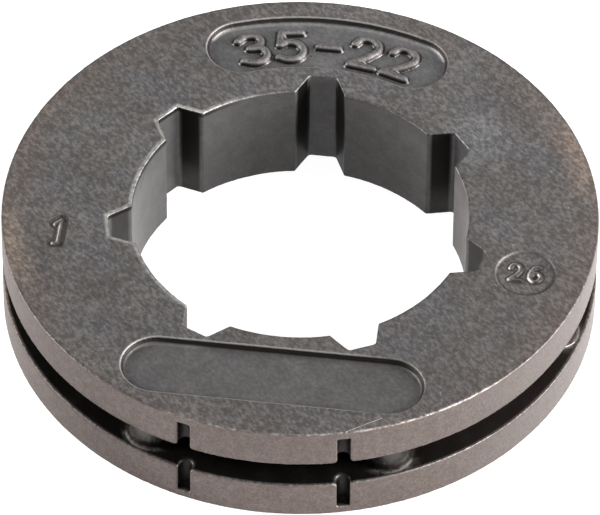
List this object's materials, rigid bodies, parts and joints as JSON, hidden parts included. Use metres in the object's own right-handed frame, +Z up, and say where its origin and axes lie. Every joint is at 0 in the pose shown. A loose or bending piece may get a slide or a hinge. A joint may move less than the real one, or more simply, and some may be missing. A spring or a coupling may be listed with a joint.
{
  "type": "chainsaw rim sprocket",
  "caption": "Cast rim sprocket with a splined bore and a toothed groove between flat flanges, which drives a saw chain from a clutch drum.",
  "frame": {"origin": "on the bore axis at the lower face", "axes": "+Z up the bore axis, +Y through a tooth and the curved pad, -Y through the straight pad"},
  "size_m": [0.035, 0.035, 0.0069],
  "materials": {
    "cast_steel": "dark as-cast grain on the faces, paler ground rim, bare edges"
  },
  "bodies": {
    "root": {"rim_sprocket": "cast_steel"}
  },
  "joints": []
}
